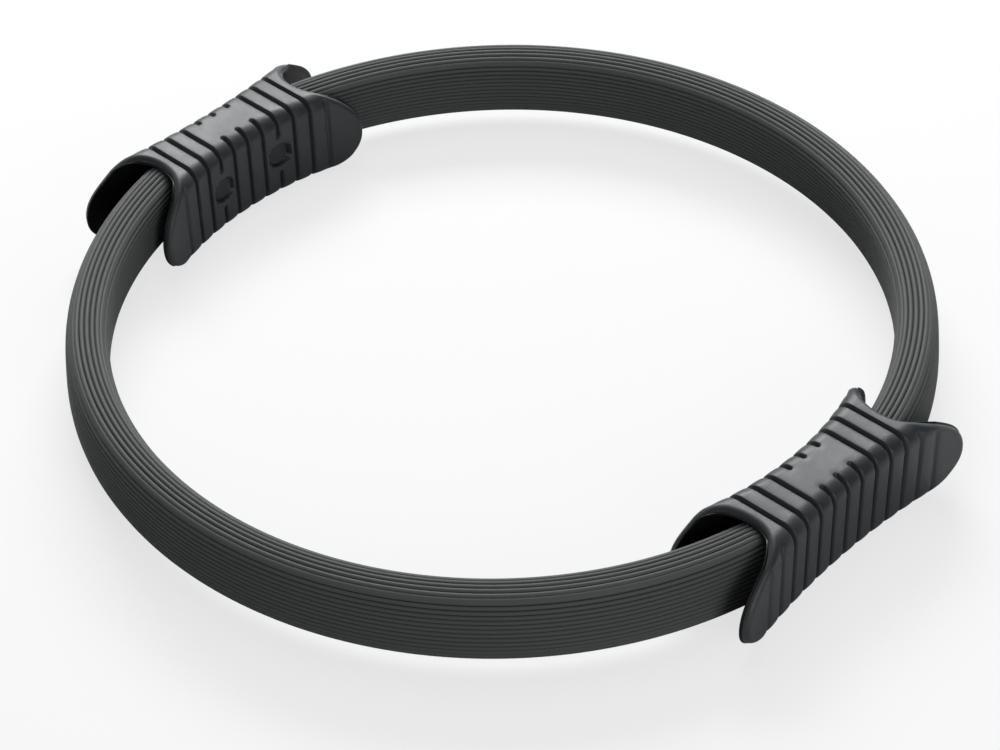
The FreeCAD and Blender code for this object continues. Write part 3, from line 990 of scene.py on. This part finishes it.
    @staticmethod
    def placed(points: np.ndarray, side: Side) -> np.ndarray:
        """Points moved from the form's frame to a side of the ring."""
        return points.reshape(-1, 3) * (side.value, 1, 1) + (0, 0, MID_HEIGHT)


@dataclass
class SoftGrip:
    """Rubber skin of a handle: grooved round, rolled at the rims, with round dips over the screw plugs."""

    form: HandleForm
    groove_pitch: float = 8.5
    groove_floor: float = 0.3
    groove_lip: float = 1.35
    groove_depth: float = 2.0
    pad_bow: float = 0.36
    flap_depth: float = 1.3
    flap_stop: float = 3.5
    flap_fade: float = 0.6
    panel_half_width: float = 6.9
    plug_groove_stop: float = 9.0
    groove_end: float = 1.0
    dip_radius: float = 5.6
    dip_depth: float = 2.5
    dip_lip: float = 0.45
    pip_place: tuple[float, float] = (-3.0, 1.25)
    pip_radius: float = 0.9
    pip_depth: float = 0.4
    pip_line: tuple[float, float] = (0.1, 0.55)
    full_grooves: tuple[int, ...] = (-4, -3, -2, 2, 3, 4)
    panel_grooves: tuple[int, ...] = (-1, 0, 1)
    plug_grooves: tuple[int, ...] = (-2, 2)
    inner_flap_grooves: tuple[int, ...] = (-5, 5)
    outer_flap_grooves: tuple[int, ...] = (-6, -5, 5, 6)
    deep_flap_groove: int = 5
    side_facing: float = 0.99
    flap_facing: float = 0.2
    waist_limit: float = 30.0
    waist_grooves: int = 3
    groove_steps: tuple[float, ...] = (0.0, 0.2, 0.4, 0.6, 0.8, 1.0, 1.25, 1.6, 2.4, 3.4)
    mouth_rows: int = 84
    roll_rows: int = 8
    hem_back: float = 0.7
    hem_depth: float = 0.1

    def cut_depth(self, points: np.ndarray) -> np.ndarray:
        """Depth of the grooves, dashes, plug dips and the mould mark below the plain outside.

        Args:
            points: Points of the outside.

        Returns:
            Depth at each point.
        """
        x, along, up = np.moveaxis(points, -1, 0)
        facing = np.broadcast_to(self.form.normal[:, 0], along.shape)
        depth = np.zeros_like(along)

        def press(distance: np.ndarray, deep: float) -> None:
            """Sinks one groove with rounded lips, and rounds the pads on both sides of it.

            Args:
                distance: Distance of each point from the groove's middle line.
                deep: Depth of the groove.
            """
            fall = self.pad_bow * np.clip(1 - 2 * distance / self.groove_pitch, 0.0, 1.0) ** 2
            cut = (deep - self.pad_bow) * (1 - smoothstep(self.groove_floor, self.groove_lip, distance))
            np.maximum(depth, fall + cut, out=depth)

        for index in self.full_grooves:
            beside = np.abs(along - index * self.groove_pitch)
            if index in self.plug_grooves:
                short = np.clip(self.plug_groove_stop + self.groove_end - np.abs(up), 0.0, None)
                beside = np.hypot(beside, np.where(facing < -self.side_facing, short, 0.0))
            press(beside, self.groove_depth)
        for index in self.panel_grooves:
            aside = np.abs(x - self.form.middle)
            short = np.clip(self.panel_half_width + self.groove_end - aside, 0.0, None)
            press(np.hypot(along - index * self.groove_pitch, short), self.groove_depth)
        room = np.minimum(self.form.upper_height - up, self.form.lower_height + up)
        past = np.clip(self.flap_stop - room, 0.0, None)
        inner, outer = facing < -self.flap_facing, facing > self.flap_facing
        for grooves, on_face in ((self.inner_flap_grooves, inner), (self.outer_flap_grooves, outer)):
            for index in grooves:
                beside = np.hypot(along - index * self.groove_pitch, past)
                share = 1.0 if abs(index) == self.deep_flap_groove else self.flap_fade
                press(np.where(on_face, beside, self.groove_pitch), self.flap_depth * share)
        for index in self.plug_grooves:
            beside = np.hypot(along - index * self.groove_pitch, up)
            dip = self.dip_depth * (1 - smoothstep(self.dip_radius, self.dip_radius + self.dip_lip, beside))
            np.maximum(depth, np.where(facing < -self.side_facing, dip, 0.0), out=depth)
        mark = np.hypot(along - self.pip_place[0], up - self.pip_place[1])
        ring = self.pip_depth * (1 - smoothstep(*self.pip_line, np.abs(mark - self.pip_radius)))
        return np.maximum(depth, np.where(facing > self.side_facing, ring, 0.0))

    def waist_stations(self) -> np.ndarray:
        """Places of the rows along the waist, close together at each groove.

        Returns:
            The places, in order.
        """
        steps = np.array(self.groove_steps)
        grooves = np.arange(-self.waist_grooves, self.waist_grooves + 1) * self.groove_pitch
        rows = (grooves[:, None] + np.concatenate([-steps, steps])).ravel()
        return np.unique(np.concatenate([rows, [-self.waist_limit, self.waist_limit]]))

    def roll(self, sign: int) -> np.ndarray:
        """Rows of one rim's roll, out over the edge and in to the hem that the core hides.

        Args:
            sign: End of the handle, as the sign of Y.

        Returns:
            The rows, from the outside inwards.
        """
        radius = self.form.rim_radius
        rows = [
            self.form.at_rim(sign, radius * (1 - math.sin(angle)), radius * (1 - math.cos(angle)))
            for angle in np.linspace(0.0, math.pi / 2, self.roll_rows)[1:]
        ]
        return np.stack(rows + [self.form.at_rim(sign, self.hem_back, radius + self.hem_depth)])

    def build(self, side: Side) -> bpy.types.Object:
        """Makes one grip.

        Args:
            side: Side of the ring that it is on.

        Returns:
            The grip.
        """
        form = self.form
        waist = self.waist_stations()[:, None] * np.ones_like(form.start)
        share = (np.arange(1, self.mouth_rows + 1) / self.mouth_rows)[:, None]
        rear = self.waist_limit + share * (form.start - self.waist_limit)
        plain = form.surface(np.concatenate([-rear[::-1], waist, rear]))
        depth = self.cut_depth(plain)
        front_roll, rear_roll = self.roll(-1)[::-1], self.roll(1)
        points = np.concatenate([front_roll, plain - form.normal * depth[..., None], rear_roll])
        extra = ((len(front_roll), len(rear_roll)), (0, 0))
        # Relief drives the rubbed tops and the painted shade in the grooves.
        relief = np.pad(1 - depth / self.groove_depth, extra, constant_values=1.0)
        placed = form.placed(points, side)
        faces = turned_outwards(placed, grid_faces(*points.shape[:2]))
        return mesh_object(side.label + "_soft_grip", placed, faces, relief.ravel())


@dataclass
class CoreHalf:
    """Hard half shell under a grip.

    A skin runs from mouth to mouth, and each mouth has a lip, a hollow and a collar round the sleeve. The
    lip's table gives distances behind the rim's tip and depths below the outside. The collar's table gives
    places along the handle and gaps round the sleeve.
    """

    form: HandleForm
    sleeve: RibbedSleeve
    split_share: float = 0.66
    skin_depth: float = 2.75
    skin_rows: int = 13
    skin_span: float = 0.9
    lip: tuple[tuple[float, float], ...] = (
        (2.6, 2.55), (-0.2, 2.5), (-0.5, 2.62), (-0.68, 2.9), (-0.62, 3.2), (-0.35, 3.42),
        (0.2, 3.55), (1.0, 3.6), (2.0, 3.62), (2.5, 3.7), (2.8, 3.82), (3.5, 3.9),
    )
    hollow_floor: float = 31.2
    hollow_steps: tuple[float, ...] = (0.35, 0.7, 1.0)
    collar: tuple[tuple[float, float], ...] = (
        (31.2, 0.3), (35.0, 0.3), (38.2, 0.3), (38.6, 0.2), (38.8, 0.0), (38.8, -0.8),
    )

    def half_columns(self, outer: bool) -> np.ndarray:
        """Column numbers of one half, in order, with both columns of the split.

        Args:
            outer: Whether the half is the one away from the ring's centre.

        Returns:
            The numbers.
        """
        kept = np.flatnonzero(self.form.share >= self.split_share)
        count = len(self.form.share)
        return kept if outer else np.arange(kept[-1], count + kept[0] + 1) % count

    def mouth(self, sign: int) -> list[np.ndarray]:
        """Rows of one mouth, from the skin over the lip to the hollow's floor and out along the collar.

        Args:
            sign: End of the handle, as the sign of Y.

        Returns:
            The rows, each with one point for each column.
        """
        form = self.form
        rows = [form.at_rim(sign, back, depth) for back, depth in self.lip]
        last_back, last_depth = self.lip[-1]
        behind = form.start + form.out[:, 1] * (form.rim_radius - last_back)
        for step in self.hollow_steps:
            along = behind + step * (self.hollow_floor - behind)
            rows.append(form.surface(sign * along) - form.normal * last_depth)
        spokes = rows[-1][:, (0, 2)] - (RING_RADIUS, 0.0)
        for station, gap in self.collar:
            ring = self.sleeve.around(spokes, gap)
            across = np.sqrt((RING_RADIUS + ring[:, 0]) ** 2 - station**2)
            rows.append(np.stack([across, np.full_like(across, sign * station), ring[:, 1]], axis=1))
        return rows

    def build(self, side: Side, outer: bool) -> bpy.types.Object:
        """Makes one half.

        Args:
            side: Side of the ring that it is on.
            outer: Whether it is the half away from the ring's centre.

        Returns:
            The half.
        """
        form = self.form
        shares = np.linspace(-self.skin_span, self.skin_span, self.skin_rows)
        skin = [form.surface(share * form.start) - form.normal * self.skin_depth for share in shares]
        rows = np.stack(self.mouth(-1)[::-1] + skin + self.mouth(1))[:, self.half_columns(outer)]
        height, width = rows.shape[:2]
        placed = form.placed(rows, side)
        faces = turned_outwards(placed, grid_faces(height, width, closed=False))
        first = list(range(width))
        last = [(height - 1) * width + k for k in first]
        flipped = faces[0][0] != 0
        caps = [first, last[::-1]] if flipped else [first[::-1], last]
        name = "%s_%s_core_shell" % (side.label, "outer" if outer else "inner")
        return mesh_object(name, placed, faces + caps)


class Ring:
    """The flexing half of the part: sleeves and strip, which bend between the two handles."""

    blend_start = (-0.150, 0.0, 0.0)
    blend_end = (0.150, 0.0, 0.0)

    def __init__(self, finishes: Finishes) -> None:
        """Keeps the finishes to dress with."""
        self.finishes = finishes

    def bend(self, item: bpy.types.Object, slot: Slot, node: str) -> None:
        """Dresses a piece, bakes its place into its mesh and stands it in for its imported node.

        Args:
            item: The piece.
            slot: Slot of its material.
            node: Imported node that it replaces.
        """
        self.finishes.dress(item, slot)
        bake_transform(item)
        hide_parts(node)
        LOG.info("%s bends between the handles", item.name)

    def build(self) -> None:
        """Makes both sleeves and the strip."""
        sleeve = RibbedSleeve()
        self.bend(sleeve.build("front_ribbed_sleeve", -1), Slot.SLEEVE, "front_sleeve")
        self.bend(sleeve.build("rear_ribbed_sleeve", 1), Slot.SLEEVE, "rear_sleeve")
        self.bend(SpringStrip().build("bent_spring_strip"), Slot.SPRING, "spring_hoop")


class Handles:
    """Both handles: new grips and core halves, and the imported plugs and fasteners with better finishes."""

    def __init__(self, finishes: Finishes, nodes: dict[str, bpy.types.Object]) -> None:
        """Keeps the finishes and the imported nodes."""
        self.finishes = finishes
        self.nodes = nodes

    def build(self) -> None:
        """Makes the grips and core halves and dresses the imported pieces."""
        form = HandleForm()
        grip, core = SoftGrip(form), CoreHalf(form, RibbedSleeve())
        for side in Side:
            self.mount(grip.build(side), side, Slot.GRIP, side.label + "_grip")
            self.mount(core.build(side, outer=False), side, Slot.CORE, side.label + "_core_inner")
            self.mount(core.build(side, outer=True), side, Slot.CORE, side.label + "_core_outer")
        for name, node in self.nodes.items():
            slot = self.slot_of(name)
            if slot is not None:
                self.finishes.dress(node, slot)

    def mount(self, item: bpy.types.Object, side: Side, slot: Slot, node: str) -> None:
        """Dresses a new piece of a handle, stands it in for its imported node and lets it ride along.

        Args:
            item: The piece.
            side: Side whose handle it belongs to.
            slot: Slot of its material.
            node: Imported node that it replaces.
        """
        self.finishes.dress(item, slot)
        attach(item, side.body.value)
        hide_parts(node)
        LOG.info("%s rides on %s", item.name, side.body.value)

    @staticmethod
    def slot_of(name: str) -> Slot | None:
        """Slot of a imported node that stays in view.

        Args:
            name: Name of the node.

        Returns:
            The slot, or nothing where a new piece stands for the node.
        """
        words = {"plug": Slot.PLUG, "screw": Slot.FASTENER, "rivet": Slot.FASTENER, "splice": Slot.SPRING}
        return next((slot for word, slot in words.items() if word in name), None)


@dataclass
class Softbox:
    """Rectangular studio lamp, placed by angles round the ring as the camera is."""

    name: str
    azimuth: float
    elevation: float
    distance: float
    width: float
    height: float
    power: float

    def build(self) -> bpy.types.Object:
        """Makes the lamp and aims it at the ring's centre.

        Returns:
            The lamp, linked to the scene.
        """
        lamp = bpy.data.lights.new(self.name, "AREA")
        lamp.shape = "RECTANGLE"
        lamp.size = self.width
        lamp.size_y = self.height
        lamp.energy = self.power
        item = bpy.data.objects.new(self.name, lamp)
        azimuth, elevation = math.radians(self.azimuth), math.radians(self.elevation)
        away = Vector((
            math.sin(azimuth) * math.cos(elevation),
            -math.cos(azimuth) * math.cos(elevation),
            math.sin(elevation),
        ))
        item.location = away * self.distance
        item.rotation_mode = "QUATERNION"
        item.rotation_quaternion = (-away).to_track_quat("-Z", "Y")
        bpy.context.scene.collection.objects.link(item)
        return item


@dataclass
class PhotoCamera:
    """Camera at the photograph's viewing angle."""

    lens: float = 100.85
    sensor: float = 36.0
    distance: float = 1.1628
    elevation: float = 40.434
    azimuth: float = 44.126
    pan: float = 0.063
    tilt: float = -1.157
    roll: float = 1.747

    def build(self) -> bpy.types.Object:
        """Makes the camera and gives it to the scene.

        Returns:
            The camera.
        """
        data = bpy.data.cameras.new("photo_camera")
        data.lens = self.lens
        data.sensor_width = self.sensor
        item = bpy.data.objects.new("photo_camera", data)
        bpy.context.scene.collection.objects.link(item)
        item.matrix_world = (
            Matrix.Translation((0.0, 0.0, MID_HEIGHT * MM))
            @ Matrix.Rotation(math.radians(self.azimuth), 4, "Z")
            @ Matrix.Rotation(math.radians(90.0 - self.elevation), 4, "X")
            @ Matrix.Translation((0.0, 0.0, self.distance))
            @ Matrix.Rotation(math.radians(self.pan), 4, "Y")
            @ Matrix.Rotation(math.radians(self.tilt), 4, "X")
            @ Matrix.Rotation(math.radians(-self.roll), 4, "Z")
        )
        bpy.context.scene.camera = item
        return item


class Studio:
    """White floor, white surroundings, soft lamps and the camera."""

    floor_drop = 0.0002
    floor_half = 12.0
    floor_glow = 0.72
    floor_white = 0.90
    floor_bounce = 0.28
    ambient = 0.13
    backdrop_azimuth = 224.0
    backdrop_spread = (0.1, 0.8)
    open_room = 0.1
    lamps = (
        Softbox(
            "back_softbox", azimuth=227.0, elevation=40.0, distance=1.6, width=1.15, height=0.62, power=27.0
        ),
        Softbox("top_softbox", azimuth=224.0, elevation=80.0, distance=1.7, width=1.0, height=1.0, power=5.0),
        Softbox("fill_softbox", azimuth=68.0, elevation=22.0, distance=1.6, width=0.6, height=0.8, power=6.6),
    )

    def build(self) -> None:
        """Makes everything that isn't part of the object."""
        self.build_floor()
        self.build_world()
        for lamp in self.lamps:
            lamp.build()
        PhotoCamera().build()
        bpy.context.scene.view_settings.view_transform = "Standard"

    @staticmethod
    def seen_straight(lay: NodeTree) -> bpy.types.NodeSocket:
        """Tells what is seen from the light that falls on things.

        Args:
            lay: Tree to add to.

        Returns:
            A socket that is 1 for what the camera sees itself, in gloss or through glass, and otherwise 0.
        """
        path = lay.add("ShaderNodeLightPath")
        either = lay.math("MAXIMUM", path.outputs["Is Camera Ray"], path.outputs["Is Glossy Ray"])
        return lay.math("MAXIMUM", either, path.outputs["Is Transmission Ray"])

    def build_floor(self) -> None:
        """Pale floor that shows almost white to the camera and keeps a soft shadow."""
        half = self.floor_half / MM
        corners = np.array([(-half, -half, 0.0), (half, -half, 0.0), (half, half, 0.0), (-half, half, 0.0)])
        floor = mesh_object("studio_floor", corners, [[0, 1, 2, 3]])
        floor.location.z = -self.floor_drop
        material = bpy.data.materials.new("studio_white")
        material.use_nodes = True
        tree = material.node_tree
        tree.nodes.clear()
        lay = NodeTree(tree)
        seen = self.seen_straight(lay)
        bounce, white = (grey(level, level, level) for level in (self.floor_bounce, self.floor_white))
        matt = lay.add("ShaderNodeBsdfDiffuse", Color=lay.mix(seen, bounce, white))
        glow = lay.add("ShaderNodeEmission", Color=grey(1.0, 1.0, 1.0), Strength=1.0)
        camera = lay.add("ShaderNodeLightPath").outputs["Is Camera Ray"]
        share = lay.math("MULTIPLY", camera, self.floor_glow)
        blend = lay.add("ShaderNodeMixShader")
        for socket, value in zip(blend.inputs, (share, matt.outputs[0], glow.outputs[0])):
            lay.feed(socket, value)
        lay.add("ShaderNodeOutputMaterial", Surface=blend.outputs[0])
        floor.data.materials.append(material)

    def build_world(self) -> None:
        """White surroundings in view, a backdrop that gloss mirrors and a plain light on the object."""
        world = bpy.data.worlds.new("studio_world")
        bpy.context.scene.world = world
        world.use_nodes = True
        tree = world.node_tree
        tree.nodes.clear()
        lay = NodeTree(tree)
        azimuth = math.radians(self.backdrop_azimuth)
        towards = lay.add("ShaderNodeVectorMath")
        towards.operation = "DOT_PRODUCT"
        lay.feed(towards.inputs[0], lay.add("ShaderNodeTexCoord").outputs["Generated"])
        towards.inputs[1].default_value = (math.sin(azimuth), -math.cos(azimuth), 0.0)
        backdrop = lay.remap(towards.outputs["Value"], *self.backdrop_spread, self.open_room, 1.0)
        camera = lay.add("ShaderNodeLightPath").outputs["Is Camera Ray"]
        gain = lay.math("SUBTRACT", lay.math("MAXIMUM", backdrop, camera), self.ambient)
        strength = lay.math("ADD", lay.math("MULTIPLY", self.seen_straight(lay), gain), self.ambient)
        back = lay.add("ShaderNodeBackground", Color=grey(1.0, 1.0, 1.0), Strength=strength)
        lay.add("ShaderNodeOutputWorld", Surface=back.outputs[0])


def main() -> None:
    """Builds the object and its studio."""
    logging.basicConfig(level=logging.INFO, format="%(name)s: %(message)s")
    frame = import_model()
    finishes = Finishes()
    Ring(finishes).build()
    Handles(finishes, frame["nodes"]).build()
    Studio().build()


if __name__ == "__main__":
    main()
